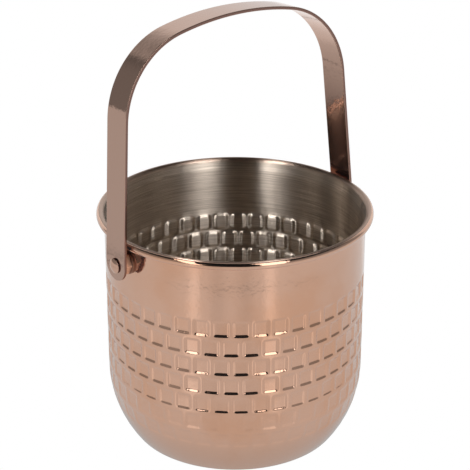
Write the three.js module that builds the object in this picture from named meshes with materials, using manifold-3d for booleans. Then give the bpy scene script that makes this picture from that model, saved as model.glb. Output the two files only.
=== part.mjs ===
// An ice bucket: a pressed copper-plated steel bucket with a rolled rim, and a flat strap handle that
// swings on two button-head screws, each in a hexagonal spacer on a round collar at the wall.
// Millimetres, +Z up. The origin is the middle of the base's underside, and the handle turns about X.
import * as THREE from "three";
import { mergeVertices } from "three/addons/utils/BufferGeometryUtils.js";
import Module from "manifold-3d";

const wasm = await Module();
wasm.setup();

// Bucket
const BODY_HEIGHT = 123;
const RIM_OUTER_R = 70;
const WALL_OUTER_R = 66.1;
const SHEET = 0.8; // thickness of the pressed sheet
const ROLL_R = 2; // outer radius of the rolled rim's section
const FLARE_HEIGHT = 5; // the wall leans out over this height to meet the roll
const ROLL_END_DEG = -115; // where the roll stops, counted from pointing straight out
const SHOULDER_Z = 37; // the wall is straight above this height
const SHOULDER_R = 60; // radius of the curve from the wall to the base
const HEEL_R = 4; // radius where that curve meets the base
const RECESS_R = 40; // the base is raised inside this radius, so that it stands on a ring
const RECESS_DEPTH = 1;
const RECESS_SLOPE = 3; // width of the slope between the ring and the raised middle
const TURN_SEGMENTS = 64;

// Handle
const STRAP_WIDTH = 15.2;
const STRAP_THICKNESS = 1.6;
const PIVOT_Z = 110.8;
const PIVOT_HALF_SPAN = 72.7; // from the bucket's axis to the middle of the strap, at the pivot
const BEND_R = 59.8; // gentle bend from the upright strap ends to the leaning legs
const LEG_LEAN = THREE.MathUtils.degToRad(4.53);
const CORNER_R = 42.4;
const CROWN_R = 157.8;
const CROWN_HEIGHT = 112.9; // from the pivot up to the middle of the strap at the top
const HANDLE_LEAN = THREE.MathUtils.degToRad(2.7); // the whole handle stands this far off upright
const STRAP_HOLE_R = 2.2;
const ARC_STEPS = 18;

// Pivots, listed from the wall outwards
const SEAT_GAP = 0.1; // between pieces that touch
const COLLAR_R = 6;
const COLLAR_THICKNESS = 1.2;
const SPACER_ACROSS_FLATS = 10;
const SPACER_BORE_R = 2.05;
const SPACER_BORE_DEPTH = 3;
const SPACER_GAP = 0.5; // between the spacer and the strap, which leans in above the pivot line
const HEAD_GAP = 0.25; // between the strap and the screw's head
const SHANK_R = 1.9;
const SHANK_LENGTH = 4.6;
const HEAD_R = 3.8;
const HEAD_EDGE = 0.5; // height of the straight band round the head
const HEAD_DOME = 1.1;
const ROUND_SEGMENTS = 32;

const copper = new THREE.MeshStandardMaterial({ color: 0xc08a70, metalness: 1, roughness: 0.2 });
const strapCopper = new THREE.MeshStandardMaterial({ color: 0xb5836b, metalness: 1, roughness: 0.28 });
const hardwareCopper = new THREE.MeshStandardMaterial({ color: 0xb9876d, metalness: 1, roughness: 0.25 });
const collarCopper = new THREE.MeshStandardMaterial({ color: 0x7c5546, metalness: 1, roughness: 0.4 });

// Points along an arc, from one angle to another, both ends included.
function arc(x, y, radius, from, to, steps) {
  return Array.from({ length: steps + 1 }, (_, i) => {
    const angle = from + ((to - from) * i) / steps;
    return new THREE.Vector2(x + radius * Math.cos(angle), y + radius * Math.sin(angle));
  });
}

// A closed geometry as a manifold-3d solid.
function solidOf(geometry) {
  const bare = geometry.clone();
  bare.deleteAttribute("normal");
  bare.deleteAttribute("uv");
  const merged = mergeVertices(bare, 1e-4);
  return new wasm.Manifold(
    new wasm.Mesh({
      numProp: 3,
      vertProperties: merged.attributes.position.array,
      triVerts: new Uint32Array(merged.index.array),
    }),
  );
}

function geometryOf(solid) {
  const mesh = solid.getMesh();
  const geometry = new THREE.BufferGeometry();
  geometry.setAttribute("position", new THREE.BufferAttribute(mesh.vertProperties, 3));
  geometry.setIndex(new THREE.BufferAttribute(mesh.triVerts, 1));
  return geometry;
}

function named(name, geometry, material) {
  const mesh = new THREE.Mesh(geometry, material);
  mesh.name = name;
  return mesh;
}

// The curve from the wall to the base, as seen in section, offset inwards from the outer face.
function bowlCurve(inset) {
  const shoulderX = WALL_OUTER_R - SHOULDER_R;
  const reach = SHOULDER_R - HEEL_R;
  const heelX = shoulderX + Math.sqrt(reach ** 2 - (SHOULDER_Z - HEEL_R) ** 2);
  const turn = Math.atan2(HEEL_R - SHOULDER_Z, heelX - shoulderX);
  return [
    ...arc(heelX, HEEL_R, HEEL_R - inset, -Math.PI / 2, turn, 4).slice(0, -1),
    ...arc(shoulderX, SHOULDER_Z, SHOULDER_R - inset, turn, 0, 7),
  ];
}

// The base, from the axis out to the heel.
function baseLine(z) {
  return [
    new THREE.Vector2(0, RECESS_DEPTH + z),
    new THREE.Vector2(RECESS_R, RECESS_DEPTH + z),
    new THREE.Vector2(RECESS_R + RECESS_SLOPE, z),
  ];
}

// The flare between the straight wall and the roll, as an S-shaped step outwards.
function flare(wallR, rollR, fromZ, toZ, steps) {
  return Array.from({ length: steps }, (_, i) => {
    const t = i / steps;
    return new THREE.Vector2(wallR + (rollR - wallR) * t * t * (3 - 2 * t), fromZ + (toZ - fromZ) * t);
  });
}

function bucketShell() {
  const rollX = RIM_OUTER_R - ROLL_R;
  const rollZ = BODY_HEIGHT - ROLL_R;
  const hollowR = ROLL_R - SHEET;
  const rollEnd = THREE.MathUtils.degToRad(ROLL_END_DEG);
  const flareZ = rollZ - FLARE_HEIGHT;
  const outside = [
    ...baseLine(0),
    ...bowlCurve(0),
    ...flare(WALL_OUTER_R, rollX - hollowR, flareZ, rollZ, 4),
    ...arc(rollX, rollZ, hollowR, Math.PI, rollEnd, 8),
  ];
  const inside = [
    ...baseLine(SHEET),
    ...bowlCurve(SHEET),
    ...flare(WALL_OUTER_R - SHEET, rollX - ROLL_R, flareZ, rollZ, 4),
    ...arc(rollX, rollZ, ROLL_R, Math.PI, rollEnd, 12),
  ];
  const profile = [...outside, ...inside.reverse()];
  const geometry = new THREE.LatheGeometry(profile, TURN_SEGMENTS, Math.PI / 2);
  return named("bucket_shell", geometry.rotateX(Math.PI / 2), copper);
}

// Centres of the bail's arcs, in the plane of the handle with the pivot line at height 0.
function bailArcs() {
  const normal = new THREE.Vector2(Math.cos(LEG_LEAN), Math.sin(LEG_LEAN));
  const along = new THREE.Vector2(-normal.y, normal.x);
  const bend = new THREE.Vector2(PIVOT_HALF_SPAN - BEND_R, 0);
  const crown = new THREE.Vector2(0, CROWN_HEIGHT - CROWN_R);
  const legOffset = normal.dot(bend) + BEND_R;
  const foot = normal.clone().multiplyScalar(legOffset - CORNER_R);
  const away = foot.clone().sub(crown);
  const half = away.dot(along);
  const rise = -half + Math.sqrt(half ** 2 - away.lengthSq() + (CROWN_R - CORNER_R) ** 2);
  const corner = foot.addScaledVector(along, rise);
  const crownAngle = Math.atan2(corner.y - crown.y, corner.x - crown.x);
  return { bend, corner, crown, crownAngle };
}

// One face of the strap, as points from the right end over the top to the left end.
function bailLine(offset) {
  const { bend, corner, crown, crownAngle } = bailArcs();
  const tail = new THREE.Vector2(PIVOT_HALF_SPAN + offset, -STRAP_WIDTH);
  const right = [
    tail,
    ...arc(bend.x, bend.y, BEND_R + offset, 0, LEG_LEAN, 3),
    ...arc(corner.x, corner.y, CORNER_R + offset, LEG_LEAN, crownAngle, ARC_STEPS).slice(0, -1),
  ];
  const top = arc(crown.x, crown.y, CROWN_R + offset, crownAngle, Math.PI - crownAngle, ARC_STEPS);
  const left = right.map((p) => new THREE.Vector2(-p.x, p.y)).reverse();
  return [...right, ...top, ...left];
}

// The strap's outline seen along the pivot line: straight sides and a half-round end.
function strapOutline() {
  const half = STRAP_WIDTH / 2;
  const top = CROWN_HEIGHT + STRAP_WIDTH;
  return new THREE.Shape([
    new THREE.Vector2(half, top),
    new THREE.Vector2(-half, top),
    ...arc(0, 0, half, -Math.PI, 0, 16),
  ]);
}

function handleStrap() {
  const half = STRAP_THICKNESS / 2;
  const section = new THREE.Shape([...bailLine(half), ...bailLine(-half).reverse()]);
  const bent = new THREE.ExtrudeGeometry(section, { depth: STRAP_WIDTH * 2, bevelEnabled: false });
  bent.rotateX(Math.PI / 2).translate(0, STRAP_WIDTH, 0);
  const reach = PIVOT_HALF_SPAN * 2 + STRAP_WIDTH;
  const outline = new THREE.ExtrudeGeometry(strapOutline(), { depth: reach, bevelEnabled: false });
  const sideways = new THREE.Matrix4().makeBasis(
    new THREE.Vector3(0, 1, 0),
    new THREE.Vector3(0, 0, 1),
    new THREE.Vector3(1, 0, 0),
  );
  outline.applyMatrix4(sideways).translate(-reach / 2, 0, 0);
  const drill = new THREE.CylinderGeometry(STRAP_HOLE_R, STRAP_HOLE_R, reach, ROUND_SEGMENTS);
  drill.rotateZ(Math.PI / 2);
  const strap = solidOf(bent).intersect(solidOf(outline)).subtract(solidOf(drill));
  const handle = new THREE.Group();
  handle.position.z = PIVOT_Z;
  handle.rotation.x = -HANDLE_LEAN;
  handle.add(named("handle_strap", geometryOf(strap), strapCopper));
  return handle;
}

// Round pieces are turned about Y and laid along X, so that a profile's height is the distance outwards.
function turnedAlongX(profile, segments) {
  return new THREE.LatheGeometry(profile, segments).rotateZ(-Math.PI / 2);
}

function collar(side) {
  const profile = [
    new THREE.Vector2(0, 0),
    new THREE.Vector2(COLLAR_R, 0),
    new THREE.Vector2(COLLAR_R, COLLAR_THICKNESS),
    new THREE.Vector2(0, COLLAR_THICKNESS),
  ];
  return named("collar_" + side, turnedAlongX(profile, ROUND_SEGMENTS), collarCopper);
}

// A hexagonal spacer with a flat on top and a blind bore that opens towards the strap.
function spacer(side, length) {
  const cornerR = SPACER_ACROSS_FLATS / 2 / Math.cos(Math.PI / 6);
  const floor = length - SPACER_BORE_DEPTH;
  const bar = new THREE.CylinderGeometry(cornerR, cornerR, length, 6);
  bar.rotateY(Math.PI / 6).translate(0, length / 2, 0);
  const bore = new THREE.CylinderGeometry(SPACER_BORE_R, SPACER_BORE_R, length, ROUND_SEGMENTS);
  bore.translate(0, length / 2 + floor, 0);
  const solid = solidOf(bar).subtract(solidOf(bore));
  const geometry = geometryOf(solid).rotateZ(-Math.PI / 2);
  return named("spacer_" + side, geometry, hardwareCopper);
}

function pivotScrew(side) {
  const domeR = (HEAD_R ** 2 + HEAD_DOME ** 2) / (2 * HEAD_DOME);
  const domeAngle = Math.asin(HEAD_R / domeR);
  const centreY = HEAD_EDGE + HEAD_DOME - domeR;
  const profile = [
    new THREE.Vector2(0, -SHANK_LENGTH),
    new THREE.Vector2(SHANK_R, -SHANK_LENGTH),
    new THREE.Vector2(SHANK_R, 0),
    new THREE.Vector2(HEAD_R, 0),
    ...arc(0, centreY, domeR, Math.PI / 2 - domeAngle, Math.PI / 2, 6),
  ];
  profile[profile.length - 1].x = 0;
  return named("pivot_screw_" + side, turnedAlongX(profile, ROUND_SEGMENTS), hardwareCopper);
}

// One pivot, built along +X; the left one is the right one turned half round the bucket's axis.
function pivot(side, turn) {
  const collarX = WALL_OUTER_R + SEAT_GAP;
  const spacerX = collarX + COLLAR_THICKNESS + SEAT_GAP;
  const strapInnerX = PIVOT_HALF_SPAN - STRAP_THICKNESS / 2;
  const strapOuterX = PIVOT_HALF_SPAN + STRAP_THICKNESS / 2;
  const pieces = [
    [collar(side), collarX],
    [spacer(side, strapInnerX - SPACER_GAP - spacerX), spacerX],
    [pivotScrew(side), strapOuterX + HEAD_GAP],
  ];
  const group = new THREE.Group();
  group.position.z = PIVOT_Z;
  group.rotation.z = turn;
  for (const [mesh, x] of pieces) {
    mesh.position.x = x;
    group.add(mesh);
  }
  return group;
}

const bucket = new THREE.Group();
bucket.add(bucketShell(), pivot("right", 0), pivot("left", Math.PI), handleStrap());

export default bucket;
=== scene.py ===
"""An ice bucket: copper-plated steel with a pressed brick pattern, a rolled rim and a flat strap handle.

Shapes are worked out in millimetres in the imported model's frame (+Z up, pivots along X) and made in metres.
"""
import math

import bmesh
import bpy
import numpy as np
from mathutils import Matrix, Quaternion, Vector


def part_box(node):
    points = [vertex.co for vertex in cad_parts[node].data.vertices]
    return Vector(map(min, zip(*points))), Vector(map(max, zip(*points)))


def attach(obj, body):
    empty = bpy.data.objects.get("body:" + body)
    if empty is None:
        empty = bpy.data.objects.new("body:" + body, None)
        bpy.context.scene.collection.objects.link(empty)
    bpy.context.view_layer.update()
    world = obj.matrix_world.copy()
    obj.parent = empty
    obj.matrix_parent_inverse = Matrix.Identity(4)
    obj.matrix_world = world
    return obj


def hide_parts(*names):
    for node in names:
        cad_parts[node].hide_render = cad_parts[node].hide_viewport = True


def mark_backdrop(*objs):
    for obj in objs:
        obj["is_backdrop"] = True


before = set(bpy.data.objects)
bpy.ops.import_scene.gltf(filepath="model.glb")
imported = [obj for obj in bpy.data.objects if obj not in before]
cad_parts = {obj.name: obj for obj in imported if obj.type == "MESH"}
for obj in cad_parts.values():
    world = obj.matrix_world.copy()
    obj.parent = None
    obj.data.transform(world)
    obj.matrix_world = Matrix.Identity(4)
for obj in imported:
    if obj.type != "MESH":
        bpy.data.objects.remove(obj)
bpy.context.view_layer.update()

MM = 0.001

# Bucket, as packed
SHELL_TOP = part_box("bucket_shell")[1]
RIM_OUTER_R = SHELL_TOP.x / MM
BODY_HEIGHT = SHELL_TOP.z / MM
WALL_R = 66.1
SHEET = 0.8
ROLL_R = 2.0
FLARE_HEIGHT = 5.0
ROLL_END = math.radians(-115)
CREST = math.radians(66)  # where the plating ends on the rim, short of its top
SHOULDER_Z = 37.0
SHOULDER_R = 60.0
HEEL_R = 4.0
RECESS_R = 40.0
RECESS_DEPTH = 1.0
RECESS_SLOPE = 3.0

# The pressed bricks
BRICKS_ROUND = 43
BRICK_ROWS = 7
BRICK_HEIGHT = 10.4
FIRST_LEDGE = 81.9  # height of the foot of the top row's bricks
BRICK_DEPTH = 0.72
FADE_FROM_ROW = 3  # rows below this one, counted from the top, are pressed less and less
FADE_PER_ROW = 0.2
BRICK_WIDTH = 2 * math.pi * WALL_R / BRICKS_ROUND
JOINT_WIDTH = 1.5
BRICK_TALL = BRICK_HEIGHT - JOINT_WIDTH * 0.8
SIDE_SLOPE = 1.1
LEDGE_SLOPE = 1.7
TOP_SLOPE = 1.9
FACE_FLATNESS = 0.8  # 1 makes a brick's face a flat plane, 0 leaves it on the wall's curve
LINING_GROWTH = 0.45  # the sheet's thickness makes each brick this much larger all round on the inside
LINING_DEPTH = 0.95
LINING_CORNER = 2.8  # on the inside the bricks' corners are round
LINING_SLOPE = 1.9

# Depths of the faces hidden inside the sheet. On the straight wall they are deeper than the bricks. On the
# curved part, where flat faces between the rings cut the corner, they are nearer the middle of the sheet.
COPPER_BACK = 0.768
COPPER_BACK_LOW = 0.496
STEEL_BACK = 0.78
STEEL_BACK_LOW = 0.56
HIDDEN_HIGH = 41.0  # lowest hidden ring of the straight wall
HIDDEN_LOW = [35.0, 28.5, 22.0, 15.5, 9.0, 2.5]

# Handle, as packed
STRAP_WIDTH = 15.2
STRAP_THICKNESS = 1.6
PIVOT_Z = 110.8
PIVOT_HALF_SPAN = 72.7
BEND_R = 59.8
LEG_LEAN = math.radians(4.53)
CORNER_R = 42.4
CROWN_R = 157.8
CROWN_HEIGHT = 112.9
HANDLE_LEAN = math.radians(2.7)

# The strap's finish, and how finely its mesh is cut
STRAP_COLOUR = (0.62, 0.405, 0.315)
STRAP_EDGE_R = 0.2
STRAP_CUTS = 200  # cuts across the strap's length
STRAP_END_CUTS = 14  # cuts across each half-round end

# Pivots, as packed
COLLAR_R = 6.0
SPACER_ACROSS_FLATS = 10.0
HEAD_GAP = 0.25
HEAD_R = 3.8
HEAD_EDGE = 0.5
HEAD_DOME = 1.1
SPACER_EDGE = 0.22
SHANK_R = 1.9
SHANK_START = 69.1  # where the screw ends, inside the spacer

# Camera, in the bucket's frame
VIEW_AZIMUTH = math.radians(-128.2)  # direction from the bucket's axis to the camera
VIEW_ELEVATION = math.radians(23.9)
VIEW_DISTANCE = 814.0
VIEW_TARGET_Z = 106.8
VIEW_FOCAL = 3.4  # focal length in picture widths


# ---------------------------------------------------------------- mesh helpers

def smoothstep(x):
    x = np.clip(x, 0.0, 1.0)
    return x * x * (3.0 - 2.0 * x)


def new_object(name, vertices_mm, faces, materials):
    """A mesh object from points in millimetres."""
    mesh = bpy.data.meshes.new(name)
    mesh.from_pydata((np.asarray(vertices_mm) * MM).tolist(), [], faces)
    mesh.validate()
    for material in materials:
        mesh.materials.append(material)
    mesh.polygons.foreach_set("use_smooth", [True] * len(mesh.polygons))
    obj = bpy.data.objects.new(name, mesh)
    bpy.context.scene.collection.objects.link(obj)
    return obj


def arc(x, y, radius, start, end, steps):
    """Points along an arc, both ends included."""
    angles = np.linspace(start, end, steps + 1)
    return [(x + radius * math.cos(a), y + radius * math.sin(a)) for a in angles]


def ring_faces(rows, columns):
    """Quads between neighbouring rows of a grid that closes round its columns."""
    j = np.arange(columns)
    k = (j + 1) % columns
    faces = []
    for row in range(rows - 1):
        a, b = row * columns, (row + 1) * columns
        faces.extend(np.stack([a + j, a + k, b + k, b + j], axis=1).tolist())
    return faces


def turned(name, rows_r, rows_z, angles, materials):
    """A closed body of revolution from arrays of radius and height, one row for each ring.

    The first and last rows close to single points on the axis."""
    columns = len(angles)
    rows = len(rows_z)
    cos, sin = np.cos(angles), np.sin(angles)
    radius = np.broadcast_to(np.asarray(rows_r, float).reshape(rows, -1), (rows, columns))
    height = np.broadcast_to(np.asarray(rows_z, float).reshape(rows, -1), (rows, columns))
    grid = np.stack([radius * cos, radius * sin, height], axis=2).reshape(-1, 3)
    first, last = len(grid), len(grid) + 1
    ends = [(0, 0, float(height[0].mean())), (0, 0, float(height[-1].mean()))]
    faces = ring_faces(rows, columns)
    for j in range(columns):
        k = (j + 1) % columns
        top = (rows - 1) * columns
        faces.append([k, j, first])
        faces.append([top + j, top + k, last])
    return new_object(name, np.vstack([grid, ends]), faces, materials)


# ---------------------------------------------------------------- bucket

def wall_point(height):
    """Radius, height and outward normal of the plain wall, where height runs along its surface."""
    if height >= SHOULDER_Z:
        return WALL_R, height, 1.0, 0.0
    angle = (SHOULDER_Z - height) / SHOULDER_R
    centre = WALL_R - SHOULDER_R
    return (
        centre + SHOULDER_R * math.cos(angle),
        SHOULDER_Z - SHOULDER_R * math.sin(angle),
        math.cos(angle),
        -math.sin(angle),
    )


def heel():
    """Centre radius of the heel's arc, and the angle at which it meets the shoulder's curve."""
    reach = SHOULDER_R - HEEL_R
    centre = WALL_R - SHOULDER_R + math.sqrt(reach**2 - (SHOULDER_Z - HEEL_R) ** 2)
    angle = math.atan2(HEEL_R - SHOULDER_Z, centre - (WALL_R - SHOULDER_R))
    return centre, angle


def brick_place(angles, height, growth):
    """The row of bricks at a height, the height above the brick's foot and the distance from its middle."""
    first = FIRST_LEDGE - growth
    row = math.ceil((first - height) / BRICK_HEIGHT - 1e-9)
    above = height - (first - row * BRICK_HEIGHT)
    turn = angles / (2 * math.pi) * BRICKS_ROUND + (row % 2) * 0.5
    across = np.abs((turn + 0.5) % 1.0 - 0.5) * BRICK_WIDTH
    fade = 1.0 - FADE_PER_ROW * max(0, row - FADE_FROM_ROW)
    return above, across, fade if 0 <= row < BRICK_ROWS else 0.0


def recess_depth(angles, height):
    """How far the pattern is pressed in, in millimetres, along one ring of the outside."""
    above, across, fade = brick_place(angles, height, 0.0)
    side = smoothstep(((BRICK_WIDTH - JOINT_WIDTH) / 2 - across) / SIDE_SLOPE)
    foot = smoothstep(above / LEDGE_SLOPE)
    top = smoothstep((BRICK_TALL - above) / TOP_SLOPE)
    bulge = FACE_FLATNESS * across**2 / (2 * WALL_R)
    return side * foot * top * (BRICK_DEPTH - bulge) * fade


def bump_depth(angles, height):
    """How far the bricks stand out into the bucket, along one ring of the inside."""
    above, across, fade = brick_place(angles, height, LINING_GROWTH)
    half_tall = BRICK_TALL / 2 + LINING_GROWTH
    side = across - (BRICK_WIDTH - JOINT_WIDTH) / 2 - LINING_GROWTH + LINING_CORNER
    end = np.full(side.shape, abs(above - half_tall) - half_tall + LINING_CORNER)
    corner = np.hypot(np.maximum(side, 0.0), np.maximum(end, 0.0))
    outside = corner + np.minimum(np.maximum(side, end), 0.0) - LINING_CORNER
    return smoothstep(-outside / LINING_SLOPE) * LINING_DEPTH * fade


def pattern_heights(offsets):
    """Heights of the mesh's rings over the bricks, from the lowest row up."""
    heights = []
    for row in reversed(range(BRICK_ROWS)):
        ledge = FIRST_LEDGE - row * BRICK_HEIGHT
        heights.extend(ledge + offset for offset in offsets)
    return heights


def pattern_angles(growth=0.0, slope_width=SIDE_SLOPE):
    """Angles of the mesh's columns, closer together at the bricks' sides in both kinds of row."""
    joint = (JOINT_WIDTH / 2 - growth) / BRICK_WIDTH
    slope = slope_width / BRICK_WIDTH
    near = [joint, joint + slope / 2, joint + slope]
    half = [0.0, *near, 0.25, *(0.5 - x for x in reversed(near))]
    brick = half + [0.5 + x for x in half]
    turns = [(n + x) / BRICKS_ROUND for n in range(BRICKS_ROUND) for x in brick]
    return np.array(turns) * 2 * math.pi


def wall_rows(heights, inset, pattern, angles):
    """Radius and height rows for rings of the wall, set in by inset and by the pattern's depth, if any."""
    rows_r, rows_z = [], []
    for height in heights:
        r, z, nr, nz = wall_point(height)
        depth = inset + pattern(angles, height) if pattern else inset
        depth = np.broadcast_to(depth, angles.shape)
        rows_r.append(r - nr * depth)
        rows_z.append(z - nz * depth)
    return rows_r, rows_z


def plain_rows(points, angles):
    shape = np.ones(len(angles))
    return [r * shape for r, _ in points], [z * shape for _, z in points]


def base_points(inset, spots):
    """The base from near the axis to the heel, at the given radii, with the raised middle."""
    points = []
    for r in spots:
        rise = RECESS_DEPTH * (1.0 - float(smoothstep((r - RECESS_R) / RECESS_SLOPE)))
        points.append((r, rise + inset))
    return points


def flare_points(wall_r, roll_r, steps):
    top = BODY_HEIGHT - ROLL_R
    points = []
    for i in range(steps):
        t = i / steps
        points.append((wall_r + (roll_r - wall_r) * float(smoothstep(t)), top - FLARE_HEIGHT * (1 - t)))
    return points


def join(parts):
    rows_r = [row for part in parts for row in part[0]]
    rows_z = [row for part in parts for row in part[1]]
    return rows_r, rows_z


def shell_outside(material):
    """The copper side of the sheet, from the base up the wall and over the outer half of the rolled rim."""
    angles = pattern_angles()
    roll = (RIM_OUTER_R - ROLL_R, BODY_HEIGHT - ROLL_R)
    hollow = ROLL_R - SHEET
    heel_r, heel_angle = heel()
    flare_foot = BODY_HEIGHT - ROLL_R - FLARE_HEIGHT
    low_heights = [-0.5, 3.0, 8.0, 13.0, 17.0]
    over = LEDGE_SLOPE * np.array([0.0, 0.25, 0.5, 0.75, 1.0])
    under = BRICK_TALL - TOP_SLOPE * np.array([1.0, 0.66, 0.33, 0.0])
    offsets = [*over, 2.6, 4.8, *under, BRICK_HEIGHT - 0.4]
    wall_heights = [FIRST_LEDGE + BRICK_HEIGHT + 3, 100.0, 108.0]
    heights = [*low_heights, *pattern_heights(offsets), *wall_heights]
    parts = [
        plain_rows(base_points(0.0, [39.0, 40.5, 41.5, 42.5, 44.0]), angles),
        plain_rows(arc(heel_r, HEEL_R, HEEL_R, -math.pi / 2, heel_angle, 5)[:-1], angles),
        wall_rows(heights, 0.0, recess_depth, angles),
        plain_rows(flare_points(WALL_R, roll[0] - hollow, 4), angles),
        plain_rows(arc(*roll, hollow, math.pi, ROLL_END, 5), angles),
        plain_rows(arc(*roll, ROLL_R, ROLL_END, CREST, 13), angles),
        plain_rows(arc(*roll, hollow + COPPER_BACK, CREST, math.pi, 3), angles),
        wall_rows([flare_foot, HIDDEN_HIGH], COPPER_BACK, None, angles),
        wall_rows(HIDDEN_LOW, COPPER_BACK_LOW, None, angles),
        plain_rows(arc(heel_r, HEEL_R, HEEL_R - COPPER_BACK_LOW, heel_angle, -math.pi / 2, 3), angles),
        plain_rows(base_points(COPPER_BACK_LOW, [44.0, 39.0]), angles),
    ]
    return turned("shell_outside", *join(parts), angles, [material])


def shell_lining(material):
    """The steel side of the sheet, from the inner half of the rim down the wall and across the floor."""
    angles = pattern_angles(LINING_GROWTH, LINING_SLOPE)
    roll = (RIM_OUTER_R - ROLL_R, BODY_HEIGHT - ROLL_R)
    hollow = ROLL_R - SHEET
    heel_r, heel_angle = heel()
    over = LINING_SLOPE * np.array([0.0, 0.25, 0.5, 0.75, 1.0])
    under = BRICK_TALL + 2 * LINING_GROWTH - over[::-1]
    offsets = np.array([*over, 3.2, 6.6, *under]) - LINING_GROWTH
    heights = [0.0, 4.0, 8.0, 12.0, 16.0, *pattern_heights(offsets), 95.0, 102.0, 109.0]
    flare_foot = BODY_HEIGHT - ROLL_R - FLARE_HEIGHT
    parts = [
        plain_rows(base_points(STEEL_BACK_LOW, [18.0, 39.0, 44.0]), angles),
        plain_rows(arc(heel_r, HEEL_R, HEEL_R - STEEL_BACK_LOW, -math.pi / 2, heel_angle, 3), angles),
        wall_rows(HIDDEN_LOW[::-1], STEEL_BACK_LOW, None, angles),
        wall_rows([HIDDEN_HIGH, flare_foot], STEEL_BACK, None, angles),
        plain_rows(arc(*roll, hollow + STEEL_BACK, math.pi, CREST, 5), angles),
        plain_rows(arc(*roll, ROLL_R, CREST, math.pi, 8), angles),
        plain_rows(flare_points(WALL_R - SHEET, roll[0] - ROLL_R, 5)[::-1], angles),
        wall_rows(heights[::-1], SHEET, bump_depth, angles),
        plain_rows(arc(heel_r, HEEL_R, HEEL_R - SHEET, heel_angle, -math.pi / 2, 4)[1:], angles),
        plain_rows(base_points(SHEET, [46.0, 43.5, 42.0, 41.0, 39.5, 30.0, 20.0, 10.0, 2.0]), angles),
    ]
    return turned("shell_lining", *join(parts), angles, [material])


# ---------------------------------------------------------------- handle

def bail_pieces():
    """The right half of the strap's middle line, from the end to the crown, as (kind, data, length)."""
    normal = np.array([math.cos(LEG_LEAN), math.sin(LEG_LEAN)])
    along = np.array([-normal[1], normal[0]])
    bend = np.array([PIVOT_HALF_SPAN - BEND_R, 0.0])
    crown = np.array([0.0, CROWN_HEIGHT - CROWN_R])
    foot = normal * (normal @ bend + BEND_R - CORNER_R)
    away = foot - crown
    half = away @ along
    rise = -half + math.sqrt(half**2 - away @ away + (CROWN_R - CORNER_R) ** 2)
    corner = foot + along * rise
    crown_angle = math.atan2(corner[1] - crown[1], corner[0] - crown[0])
    leg_start = bend + BEND_R * normal
    leg_end = corner + CORNER_R * normal
    return [
        ("line", (np.array([PIVOT_HALF_SPAN, -STRAP_WIDTH / 2]), np.array([0.0, 1.0])), STRAP_WIDTH / 2),
        ("arc", (bend, BEND_R, 0.0), BEND_R * LEG_LEAN),
        ("line", (leg_start, along), float(np.linalg.norm(leg_end - leg_start))),
        ("arc", (corner, CORNER_R, LEG_LEAN), CORNER_R * (crown_angle - LEG_LEAN)),
        ("arc", (crown, CROWN_R, crown_angle), CROWN_R * (math.pi / 2 - crown_angle)),
    ]


def bail_frame(s, pieces):
    """Point and outward normal at a distance s along the strap, from the right end to the left."""
    total = sum(piece[2] for piece in pieces)
    mirrored = s > total
    rest = 2 * total - s if mirrored else s
    for kind, data, length in pieces[:-1]:
        if rest <= length:
            break
        rest -= length
    else:
        kind, data, _ = pieces[-1]
    if kind == "line":
        start, direction = data
        point = start + direction * rest
        normal = np.array([direction[1], -direction[0]])
    else:
        centre, radius, start = data
        angle = start + rest / radius
        normal = np.array([math.cos(angle), math.sin(angle)])
        point = centre + radius * normal
    flip = np.array([-1.0, 1.0]) if mirrored else np.array([1.0, 1.0])
    return point * flip, normal * flip


def strap_stations(total):
    """The cuts across the strap, each as a place along it and a turn round that place.

    The turn is a right angle, for a straight cut, except round the half-round ends."""
    centre = STRAP_WIDTH / 2
    square = math.pi / 2
    turns = np.linspace(0, square, STRAP_END_CUTS + 1)[1:]
    places = np.linspace(centre, 2 * total - centre, STRAP_CUTS)[1:-1]
    start = [(centre, turn) for turn in turns]
    end = [(2 * total - centre, math.pi - turn) for turn in turns[::-1]]
    return start + [(place, square) for place in places] + end


def strap_section():
    """One loop round the strap's section: the outer face, the far edge, the inner face and the near edge.

    Each point is a share of the half width, a distance out past it and a depth."""
    half = STRAP_THICKNESS / 2
    shares = [-1.0, -0.97, -0.6, -0.2, 0.2, 0.6, 0.97, 1.0]
    turns = [math.radians(a) for a in (90, 60, 30, 0)]
    flat = half - STRAP_EDGE_R
    corner = [(STRAP_EDGE_R * math.cos(a), flat + STRAP_EDGE_R * math.sin(a)) for a in turns]
    return [
        *((share, 0.0, half) for share in shares),
        *((1.0, out, depth) for out, depth in corner[1:]),
        *((1.0, out, -depth) for out, depth in corner[::-1]),
        *((share, 0.0, -half) for share in shares[-2::-1]),
        *((-1.0, out, -depth) for out, depth in corner[1:]),
        *((-1.0, out, depth) for out, depth in corner[:0:-1]),
    ]


def leaning(points):
    """Points of the upright handle, with the pivot line at height 0, leant over and put in their place."""
    x, y, z = np.array(points).T
    cos, sin = math.cos(HANDLE_LEAN), math.sin(HANDLE_LEAN)
    return np.stack([x, y * cos + z * sin, z * cos - y * sin + PIVOT_Z], axis=1)


def strap_faces(stations, count):
    faces = []
    for i in range(stations - 1):
        here, there = i * count, (i + 1) * count
        for j in range(count):
            k = (j + 1) % count
            faces.append([here + j, here + k, there + k, there + j])
    faces.append(list(range(count)))
    faces.append([(stations - 1) * count + j for j in reversed(range(count))])
    return faces


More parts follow.
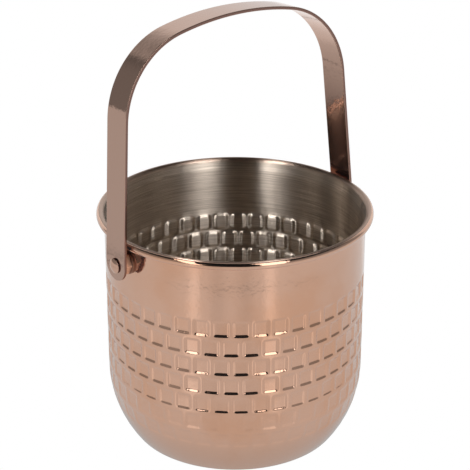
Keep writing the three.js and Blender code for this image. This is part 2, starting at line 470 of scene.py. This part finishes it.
def handle_strap(face_material, edge_painted_shade_material, inner_painted_reflection_material):
    pieces = bail_pieces()
    total = sum(piece[2] for piece in pieces)
    stations = strap_stations(total)
    section = strap_section()
    vertices = []
    for place, turn in stations:
        for share, outward, depth in section:
            reach = STRAP_WIDTH / 2 - STRAP_EDGE_R + outward
            s = place - reach * math.cos(turn)
            point, normal = bail_frame(min(max(s, 0.0), 2 * total), pieces)
            across = share * reach * math.sin(turn)
            vertices.append((point[0] + normal[0] * depth, across, point[1] + normal[1] * depth))
    count = len(section)
    faces = strap_faces(len(stations), count)
    materials = [face_material, edge_painted_shade_material, inner_painted_reflection_material]
    obj = new_object("handle", leaning(vertices), faces, materials)
    depths = [point[2] for point in section]
    inner_face = -STRAP_THICKNESS + 0.01
    for j, (a, b) in enumerate(zip(depths, depths[1:] + depths[:1])):
        # Kind 1 is the strap's two edges, in a darker copper as painted shade; kind 2 is the inner face, with
        # its painted dark reflection towards the feet.
        kind = 1 if a * b < 0 else 2 if a + b < inner_face else 0
        for i in range(len(stations) - 1):
            obj.data.polygons[i * count + j].material_index = kind
    return obj


# ---------------------------------------------------------------- pivots

def along_x(profile, start, side, name, material, columns=64):
    """A round piece whose axis is the pivot line. The profile gives radius and distance outwards."""
    angles = np.arange(columns) / columns * 2 * math.pi
    rows_r = [max(r, 1e-3) for r, _ in profile]
    rows_z = [out for _, out in profile]
    obj = turned(name, rows_r, rows_z, angles, [material])
    for vertex in obj.data.vertices:
        a, b, out = vertex.co
        out += start * MM
        vertex.co = (side * out, side * a, b + PIVOT_Z * MM)
    return obj


def rounded(r, out, radius, start, end, steps=4):
    return arc(r, out, radius, math.radians(start), math.radians(end), steps)


def screw_head(side, suffix, material, edge_painted_shade_material):
    seat = PIVOT_HALF_SPAN + STRAP_THICKNESS / 2 + HEAD_GAP
    edge = 0.18
    dome_r = (HEAD_R**2 + HEAD_DOME**2) / (2 * HEAD_DOME)
    dome_angle = math.asin(HEAD_R / dome_r)
    centre = HEAD_EDGE + HEAD_DOME - dome_r
    dome = arc(0.0, centre, dome_r, math.pi / 2 - dome_angle * 0.97, math.pi / 2, 12)
    profile = [
        (HEAD_R * 0.5, 0.0),
        *rounded(HEAD_R - edge, edge, edge, -90, 0),
        (HEAD_R, HEAD_EDGE),
        *dome[:-1],
    ]
    obj = along_x(profile, seat, side, "pivot_head_" + suffix, material)
    obj.data.materials.append(edge_painted_shade_material)
    # The head's underside and rim take the darker copper: painted shadow in the gap against the strap.
    for face in obj.data.polygons:
        if abs(face.center.x) < (seat + HEAD_EDGE) * MM:
            face.material_index = 1
    return obj


def screw_shank(side, suffix, material):
    inside_head = PIVOT_HALF_SPAN + STRAP_THICKNESS / 2 + HEAD_GAP + 0.1
    profile = [(SHANK_R, 0.0), (SHANK_R, inside_head - SHANK_START)]
    return along_x(profile, SHANK_START, side, "pivot_shank_" + suffix, material, 32)


def collar(side, suffix, material):
    start = WALL_R - 0.25  # a little inside the wall, which curves away from the collar
    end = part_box("collar_" + suffix)
    thick = max(abs(end[0].x), abs(end[1].x)) / MM - start
    edge = 0.25
    profile = [
        (COLLAR_R, 0.0),
        *rounded(COLLAR_R - edge, thick - edge, edge, 0, 90),
    ]
    return along_x(profile, start, side, "wall_collar_" + suffix, material)


def spacer(side, suffix, material):
    """A hexagonal bar with a flat on top, its edges broken and its end corners turned off."""
    low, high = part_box("spacer_" + suffix)
    near = min(abs(low.x), abs(high.x)) / MM - 0.12  # reaches a little way into the collar
    far = max(abs(low.x), abs(high.x)) / MM
    corner = SPACER_ACROSS_FLATS / 2 / math.cos(math.pi / 6)
    mesh = bmesh.new()
    ends = []
    for x in (near, far):
        ring = []
        for n in range(6):
            angle = n * math.pi / 3
            ring.append(mesh.verts.new((side * x * MM, corner * math.cos(angle) * MM,
                                        (PIVOT_Z + corner * math.sin(angle)) * MM)))
        ends.append(ring)
    for n in range(6):
        m = (n + 1) % 6
        mesh.faces.new([ends[0][n], ends[1][n], ends[1][m], ends[0][m]])
    mesh.faces.new(ends[0][::-1])
    mesh.faces.new(ends[1])
    bmesh.ops.bevel(mesh, geom=list(mesh.edges), offset=SPACER_EDGE * MM, segments=3, profile=0.6,
                    affect="EDGES", clamp_overlap=True)
    bmesh.ops.recalc_face_normals(mesh, faces=list(mesh.faces))
    data = bpy.data.meshes.new("spacer")
    mesh.to_mesh(data)
    mesh.free()
    data.materials.append(material)
    obj = bpy.data.objects.new("hex_spacer_" + suffix, data)
    bpy.context.scene.collection.objects.link(obj)
    return obj


# ---------------------------------------------------------------- materials

def material_nodes(name):
    material = bpy.data.materials.new(name)
    material.use_nodes = True
    nodes = material.node_tree.nodes
    return material, nodes, material.node_tree.links, nodes["Principled BSDF"]


def noise(nodes, links, vector, scale, detail=3.0, roughness=0.5):
    node = nodes.new("ShaderNodeTexNoise")
    node.inputs["Scale"].default_value = scale
    node.inputs["Detail"].default_value = detail
    node.inputs["Roughness"].default_value = roughness
    links.new(vector, node.inputs["Vector"])
    return node.outputs["Fac"]


def map_range(nodes, links, value, low, high):
    node = nodes.new("ShaderNodeMapRange")
    node.inputs["To Min"].default_value = low
    node.inputs["To Max"].default_value = high
    links.new(value, node.inputs["Value"])
    return node.outputs["Result"]


def smooth_range(nodes, links, value, low, high, value_low, value_high):
    node = nodes.new("ShaderNodeMapRange")
    node.interpolation_type = "SMOOTHSTEP"
    node.inputs["From Min"].default_value = low
    node.inputs["From Max"].default_value = high
    node.inputs["To Min"].default_value = value_low
    node.inputs["To Max"].default_value = value_high
    links.new(value, node.inputs["Value"])
    return node.outputs["Result"]


def bump(nodes, links, height, strength, distance, normal=None):
    node = nodes.new("ShaderNodeBump")
    node.inputs["Strength"].default_value = strength
    node.inputs["Distance"].default_value = distance
    links.new(height, node.inputs["Height"])
    if normal is not None:
        links.new(normal, node.inputs["Normal"])
    return node.outputs["Normal"]


def blend(nodes, links, factor, first, second):
    """A colour between two others, each given as a colour or as a node's output."""
    mix = nodes.new("ShaderNodeMix")
    mix.data_type = "RGBA"
    for end, colour in (("A", first), ("B", second)):
        if isinstance(colour, bpy.types.NodeSocket):
            links.new(colour, mix.inputs[end])
        else:
            mix.inputs[end].default_value = (*colour, 1.0)
    links.new(factor, mix.inputs["Factor"])
    return mix.outputs["Result"]


def object_coordinates(nodes):
    return nodes.new("ShaderNodeTexCoord").outputs["Object"]


def copper(name, colour, rough, wobble, sheen=0.0, lacquer=0.0, stain=None):
    """Polished copper plate: a mirror with slight polishing haze, and the faint waviness of pressed sheet.

    The roughness is a pair, its lowest and highest. A stain is a second colour, in patches."""
    material, nodes, links, shader = material_nodes(name)
    where = object_coordinates(nodes)
    shader.inputs["Base Color"].default_value = (*colour, 1.0)
    shader.inputs["Metallic"].default_value = 1.0
    shader.inputs["Sheen Weight"].default_value = sheen
    shader.inputs["Sheen Roughness"].default_value = 0.5
    shader.inputs["Coat Weight"].default_value = lacquer
    shader.inputs["Coat IOR"].default_value = 1.5
    shader.inputs["Coat Roughness"].default_value = 0.06
    if stain:
        patches = noise(nodes, links, where, scale=22.0, detail=4.0, roughness=0.55)
        stained = smooth_range(nodes, links, patches, 0.42, 0.66, 0.0, 1.0)
        links.new(blend(nodes, links, stained, colour, stain), shader.inputs["Base Color"])
    haze = noise(nodes, links, where, scale=90.0, detail=5.0, roughness=0.6)
    links.new(map_range(nodes, links, haze, *rough), shader.inputs["Roughness"])
    waves = noise(nodes, links, where, scale=55.0, detail=2.0)
    peel = noise(nodes, links, where, scale=520.0, detail=2.0)
    pressed = bump(nodes, links, peel, wobble, distance=0.00014)
    links.new(bump(nodes, links, waves, wobble, distance=0.0006, normal=pressed), shader.inputs["Normal"])
    return material


def darken_low_painted_reflection(material, dark, low, high):
    """Turns a copper darker from the height high down to the height low: a painted dark reflection, standing
    in for the dark wall that the face mirrors there.
    """
    nodes, links = material.node_tree.nodes, material.node_tree.links
    colour = nodes["Principled BSDF"].inputs["Base Color"]
    split = nodes.new("ShaderNodeSeparateXYZ")
    links.new(object_coordinates(nodes), split.inputs["Vector"])
    height = smooth_range(nodes, links, split.outputs["Z"], low * MM, high * MM, 0.0, 1.0)
    links.new(blend(nodes, links, height, dark, tuple(colour.default_value)[:3]), colour)


def brushing_coordinates(nodes, links, where, split, drift):
    """Coordinates that change with the radius and the height, and hardly at all round the bucket."""
    flat = nodes.new("ShaderNodeCombineXYZ")
    links.new(split.outputs["X"], flat.inputs["X"])
    links.new(split.outputs["Y"], flat.inputs["Y"])
    radius = nodes.new("ShaderNodeVectorMath")
    radius.operation = "LENGTH"
    links.new(flat.outputs["Vector"], radius.inputs[0])
    outwards = nodes.new("ShaderNodeMath")
    outwards.operation = "ADD"
    links.new(radius.outputs["Value"], outwards.inputs[0])
    links.new(split.outputs["Z"], outwards.inputs[1])
    lines = nodes.new("ShaderNodeCombineXYZ")
    links.new(outwards.outputs["Value"], lines.inputs["Z"])
    slow = nodes.new("ShaderNodeVectorMath")
    slow.operation = "SCALE"
    slow.inputs["Scale"].default_value = drift
    links.new(where, slow.inputs[0])
    mixed = nodes.new("ShaderNodeVectorMath")
    mixed.operation = "ADD"
    links.new(lines.outputs["Vector"], mixed.inputs[0])
    links.new(slow.outputs["Vector"], mixed.inputs[1])
    return mixed.outputs["Vector"]


def brushed_steel(name, dark, light, lip, lip_start):
    """Steel brushed round the bucket: fine lines along each turn, on the wall and on the floor alike.

    Above the height lip_start it takes on the colour of the plating that ends there."""
    material, nodes, links, shader = material_nodes(name)
    where = object_coordinates(nodes)
    split = nodes.new("ShaderNodeSeparateXYZ")
    links.new(where, split.inputs["Vector"])
    lines = brushing_coordinates(nodes, links, where, split, drift=0.02)
    fine = noise(nodes, links, lines, scale=1500.0, detail=4.0, roughness=0.7)
    steel = blend(nodes, links, smooth_range(nodes, links, fine, 0.3, 0.7, 0.0, 1.0), dark, light)
    near_top = smooth_range(nodes, links, split.outputs["Z"], lip_start * MM, BODY_HEIGHT * MM, 0.0, 1.0)
    links.new(blend(nodes, links, near_top, steel, lip), shader.inputs["Base Color"])
    shader.inputs["Metallic"].default_value = 1.0
    shader.inputs["Anisotropic"].default_value = 1.0
    shader.inputs["Anisotropic Rotation"].default_value = 0.25
    tangent = nodes.new("ShaderNodeTangent")
    tangent.direction_type = "RADIAL"
    tangent.axis = "Z"
    links.new(tangent.outputs["Tangent"], shader.inputs["Tangent"])
    links.new(map_range(nodes, links, fine, 0.25, 0.37), shader.inputs["Roughness"])
    links.new(bump(nodes, links, fine, strength=1.0, distance=0.00012), shader.inputs["Normal"])
    return material


# ---------------------------------------------------------------- stage, lights and camera

def direction(azimuth, elevation):
    return Vector((
        math.cos(azimuth) * math.cos(elevation),
        math.sin(azimuth) * math.cos(elevation),
        math.sin(elevation),
    ))


STUDIO_TURN = VIEW_AZIMUTH - math.radians(2.5)  # the middle of the two lights is not quite at the camera
SEEN_WHITE = 1.0

# Light from the floor and from the walls by angle away from the camera, in degrees
FLOOR_LIGHT = [(0, 0.59), (11, 0.53), (21, 0.61), (29, 0.80), (38, 0.62), (50, 0.59),
               (93, 0.57), (120, 0.58), (132, 0.62), (150, 0.80), (180, 1.0)]
WALL_LIGHT = [(0, 0.02), (18, 0.02), (24, 0.12), (50, 0.36), (70, 0.30), (122, 0.26), (130, 0.85),
              (165, 1.0), (180, 1.0)]
CEILING_LIGHT = 0.04
CEILING_START = 0.4  # sine of the elevation where the walls give way to the dark ceiling
CEILING_FULL = 0.72
CONTACT_SHADE = 0.80
CONTACT_REACH = 0.09
NEAR_LIGHT = 0.57  # the floor close to the bucket, where the lights' streaks have faded out
STREAKS_START, STREAKS_FULL = 0.09, 0.17
SEAM_REACH = 0.304  # a faint round seam in the stand, which shows only as a line in the reflections
SEAM_LIGHT = 0.35
SEAM_HALF_WIDTH, SEAM_FADED = 0.002, 0.006

# The two strip lights: their place and size in degrees and metres
STRIP_LEFT = {"azimuth": -38, "elevation": 36, "distance": 0.7, "width": 0.15, "height": 0.86, "lean": 22}
STRIP_RIGHT = {"azimuth": 35, "elevation": 36, "distance": 0.7, "width": 0.24, "height": 0.86, "lean": -8}


def turn_ramp(nodes, links, vector, levels):
    """A level that depends on the direction of a vector round the bucket, the same on both sides."""
    flat = nodes.new("ShaderNodeVectorMath")
    flat.operation = "MULTIPLY"
    flat.inputs[1].default_value = (1.0, 1.0, 0.0)
    links.new(vector, flat.inputs[0])
    unit = nodes.new("ShaderNodeVectorMath")
    unit.operation = "NORMALIZE"
    links.new(flat.outputs["Vector"], unit.inputs[0])
    cosine = nodes.new("ShaderNodeVectorMath")
    cosine.operation = "DOT_PRODUCT"
    cosine.inputs[1].default_value = direction(STUDIO_TURN, 0.0)
    links.new(unit.outputs["Vector"], cosine.inputs[0])
    angle = nodes.new("ShaderNodeMath")
    angle.operation = "ARCCOSINE"
    links.new(cosine.outputs["Value"], angle.inputs[0])
    share = nodes.new("ShaderNodeMath")
    share.operation = "DIVIDE"
    share.inputs[1].default_value = math.pi
    links.new(angle.outputs["Value"], share.inputs[0])
    ramp = nodes.new("ShaderNodeValToRGB")
    ramp.color_ramp.interpolation = "EASE"
    stops = ramp.color_ramp.elements
    for i, (degrees, level) in enumerate(levels):
        stop = stops[i] if i < 2 else stops.new(degrees / 180)
        stop.position = degrees / 180
        stop.color = (level, level, level, 1.0)
    links.new(share.outputs["Value"], ramp.inputs["Fac"])
    return ramp.outputs["Color"]


def ray_choice(nodes, links, seen, lit):
    """One surface where the camera looks straight at it, and another as light."""
    path = nodes.new("ShaderNodeLightPath")
    mix = nodes.new("ShaderNodeMixShader")
    links.new(path.outputs["Is Camera Ray"], mix.inputs["Fac"])
    links.new(lit, mix.inputs[1])
    links.new(seen, mix.inputs[2])
    return mix.outputs["Shader"]


def product(nodes, links, a, b):
    node = nodes.new("ShaderNodeMath")
    node.operation = "MULTIPLY"
    links.new(a, node.inputs[0])
    links.new(b, node.inputs[1])
    return node.outputs["Value"]


def floor():
    """A floor that the camera sees plain white, and that glows as light in the reflections, with painted
    shade round the bucket's foot.
    """
    bpy.ops.mesh.primitive_circle_add(vertices=96, radius=3.0, fill_type="NGON", location=(0, 0, -0.0002))
    obj = bpy.context.object
    obj.name = "floor"
    material = bpy.data.materials.new("floor_white")
    material.use_nodes = True
    nodes, links = material.node_tree.nodes, material.node_tree.links
    nodes.clear()
    where = nodes.new("ShaderNodeNewGeometry").outputs["Position"]
    reach = nodes.new("ShaderNodeVectorMath")
    reach.operation = "LENGTH"
    links.new(where, reach.inputs[0])
    shade = smooth_range(nodes, links, reach.outputs["Value"], 0.05, CONTACT_REACH, CONTACT_SHADE, 1.0)
    far = smooth_range(nodes, links, reach.outputs["Value"], STREAKS_START, STREAKS_FULL, 0.0, 1.0)
    level = nodes.new("ShaderNodeMix")
    level.inputs["A"].default_value = NEAR_LIGHT
    links.new(far, level.inputs["Factor"])
    links.new(turn_ramp(nodes, links, where, FLOOR_LIGHT), level.inputs["B"])
    away = nodes.new("ShaderNodeMath")
    away.operation = "SUBTRACT"
    away.inputs[1].default_value = SEAM_REACH
    links.new(reach.outputs["Value"], away.inputs[0])
    offset = nodes.new("ShaderNodeMath")
    offset.operation = "ABSOLUTE"
    links.new(away.outputs["Value"], offset.inputs[0])
    seam = smooth_range(nodes, links, offset.outputs["Value"], SEAM_HALF_WIDTH, SEAM_FADED, SEAM_LIGHT, 1.0)
    lit = nodes.new("ShaderNodeEmission")
    shaded = product(nodes, links, level.outputs["Result"], shade)
    links.new(product(nodes, links, shaded, seam), lit.inputs["Strength"])
    seen = nodes.new("ShaderNodeEmission")
    seen.inputs["Strength"].default_value = SEEN_WHITE
    output = nodes.new("ShaderNodeOutputMaterial")
    surface = ray_choice(nodes, links, seen.outputs["Emission"], lit.outputs["Emission"])
    links.new(surface, output.inputs["Surface"])
    obj.data.materials.append(material)
    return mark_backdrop(obj)


def board_edge(name, turn, distance, width, level):
    """One edge of the board that the bucket stands on, which shows only as a line in its reflections."""
    along = direction(STUDIO_TURN + math.radians(turn), 0.0)
    across = Vector((-along.y, along.x, 0.0))
    corners = [along * (distance + a * width / 2) + across * (b * distance) + Vector((0, 0, 0.0001))
               for a, b in ((-1, -1), (1, -1), (1, 1), (-1, 1))]
    mesh = bpy.data.meshes.new(name)
    mesh.from_pydata([tuple(c) for c in corners], [], [(0, 1, 2, 3)])
    obj = bpy.data.objects.new(name, mesh)
    bpy.context.scene.collection.objects.link(obj)
    material = bpy.data.materials.new(name)
    material.use_nodes = True
    nodes, links = material.node_tree.nodes, material.node_tree.links
    nodes.clear()
    glow = nodes.new("ShaderNodeEmission")
    glow.inputs["Strength"].default_value = level
    links.new(glow.outputs["Emission"], nodes.new("ShaderNodeOutputMaterial").inputs["Surface"])
    mesh.materials.append(material)
    obj.visible_camera = False
    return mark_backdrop(obj)


def studio():
    """The room as light: grey walls, a white backdrop behind, a dark ceiling, and dark round the camera."""
    world = bpy.data.worlds.new("studio")
    world.use_nodes = True
    bpy.context.scene.world = world
    nodes, links = world.node_tree.nodes, world.node_tree.links
    nodes.clear()
    where = nodes.new("ShaderNodeTexCoord").outputs["Generated"]
    split = nodes.new("ShaderNodeSeparateXYZ")
    links.new(where, split.inputs["Vector"])
    walls = turn_ramp(nodes, links, where, WALL_LIGHT)
    fade = smooth_range(nodes, links, split.outputs["Z"], CEILING_START, CEILING_FULL, 1.0, CEILING_LIGHT)
    lit = nodes.new("ShaderNodeBackground")
    links.new(product(nodes, links, walls, fade), lit.inputs["Strength"])
    seen = nodes.new("ShaderNodeBackground")
    seen.inputs["Color"].default_value = (1.0, 1.0, 1.0, 1.0)
    seen.inputs["Strength"].default_value = SEEN_WHITE
    output = nodes.new("ShaderNodeOutputWorld")
    surface = ray_choice(nodes, links, seen.outputs["Background"], lit.outputs["Background"])
    links.new(surface, output.inputs["Surface"])


def softbox(name, pieces, brightness, azimuth, elevation, distance, width, height, lean):
    """A rectangular light beside the camera that lights some of the pieces."""
    light = bpy.data.lights.new(name, "AREA")
    light.shape = "RECTANGLE"
    light.size, light.size_y = width, height
    light.energy = brightness * math.pi * width * height
    obj = bpy.data.objects.new(name, light)
    bpy.context.scene.collection.objects.link(obj)
    target = Vector((0, 0, BODY_HEIGHT * MM))
    turn = STUDIO_TURN + math.radians(azimuth)
    obj.location = target + direction(turn, math.radians(elevation)) * distance
    facing = (target - obj.location).to_track_quat("-Z", "Y")
    obj.rotation_euler = (facing @ Quaternion((0, 0, 1), math.radians(lean))).to_euler()
    obj.visible_camera = False
    receivers = bpy.data.collections.new(name + "_receivers")
    for piece in pieces:
        receivers.objects.link(piece)
    obj.light_linking.receiver_collection = receivers


def camera():
    data = bpy.data.cameras.new("camera")
    data.sensor_width = 36.0
    data.lens = VIEW_FOCAL * data.sensor_width
    obj = bpy.data.objects.new("camera", data)
    bpy.context.scene.collection.objects.link(obj)
    target = Vector((0, 0, VIEW_TARGET_Z * MM))
    obj.location = target + direction(VIEW_AZIMUTH, VIEW_ELEVATION) * VIEW_DISTANCE * MM
    obj.rotation_euler = (target - obj.location).to_track_quat("-Z", "Y").to_euler()
    bpy.context.scene.camera = obj


# ---------------------------------------------------------------- the whole object

def build():
    """Every piece, on its body. Returns the copper pieces and the steel ones, which have their own lights."""
    shell_copper = copper("polished_copper_shell", (0.90, 0.545, 0.385), rough=(0.05, 0.11), wobble=0.3,
                          sheen=0.4, lacquer=0.6, stain=(0.875, 0.485, 0.31))
    strap_copper = copper("polished_copper_strap", STRAP_COLOUR, rough=(0.05, 0.10), wobble=0.3,
                          sheen=0.1, lacquer=0.2)
    # Painted shade: a darker copy of the strap's copper, for the strap's edges and the screw heads' rims.
    edge_painted_shade = copper("copper_edge_painted_shade", (0.34, 0.20, 0.165), rough=(0.22, 0.34), wobble=0.2)
    strap_inside_painted_reflection = copper("copper_strap_inside_painted_reflection", STRAP_COLOUR, rough=(0.05, 0.10), wobble=0.3,
                          sheen=0.1, lacquer=0.2)
    # Painted dark reflection: the strap's inner face darkens towards its feet, where it mirrors the dark wall
    # near the pivots.
    darken_low_painted_reflection(strap_inside_painted_reflection, dark=(0.13, 0.06, 0.042), low=140, high=195)
    head_copper = copper("polished_copper_head", (0.80, 0.50, 0.37), rough=(0.03, 0.06), wobble=0.1,
                         sheen=0.1, lacquer=0.3)
    bar_copper = copper("turned_copper_bar", (0.95, 0.66, 0.50), rough=(0.28, 0.36), wobble=0.1, sheen=0.1)
    # The collars are a darker, rougher copper than the other parts.
    collar_copper = copper("dark_copper_collar", (0.34, 0.2, 0.15), rough=(0.25, 0.4), wobble=0.2)
    steel = brushed_steel("brushed_steel_lining", dark=(0.42, 0.355, 0.295), light=(0.64, 0.555, 0.475),
                          lip=(0.52, 0.37, 0.29), lip_start=120.5)

    outside = shell_outside(shell_copper)
    lining = shell_lining(steel)
    for piece, slot in ((outside, "shell_copper"), (lining, "inner_steel")):
        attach(piece, "bucket")
        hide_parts("bucket_shell")

    strap = handle_strap(strap_copper, edge_painted_shade, strap_inside_painted_reflection)
    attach(strap, "handle")
    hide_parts("handle_strap")

    polished = [outside, strap]
    for suffix, side in (("left", -1), ("right", 1)):
        head = screw_head(side, suffix, head_copper, edge_painted_shade)
        shank = screw_shank(side, suffix, head_copper)
        for piece in (head, shank):
            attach(piece, "bucket")
            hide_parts("pivot_screw_" + suffix)
        hexagon = spacer(side, suffix, bar_copper)
        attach(hexagon, "bucket")
        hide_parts("spacer_" + suffix)
        ring = collar(side, suffix, collar_copper)
        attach(ring, "bucket")
        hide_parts("collar_" + suffix)
        polished += [head, shank, hexagon, ring]
    return polished, [lining]


copper_pieces, steel_pieces = build()
floor()
studio()
board_edge("board_edge_left", turn=-90, distance=0.37, width=0.014, level=0.33)
board_edge("board_edge_right", turn=90, distance=0.35, width=0.006, level=0.33)
softbox("softbox_left", copper_pieces, brightness=1.8, **STRIP_LEFT)
softbox("softbox_right", copper_pieces, brightness=1.8, **STRIP_RIGHT)
softbox("inner_softbox_left", steel_pieces, brightness=10.5, **STRIP_LEFT)
softbox("inner_softbox_right", steel_pieces, brightness=5.2, **STRIP_RIGHT)
camera()
bpy.context.scene.view_settings.view_transform = "Standard"
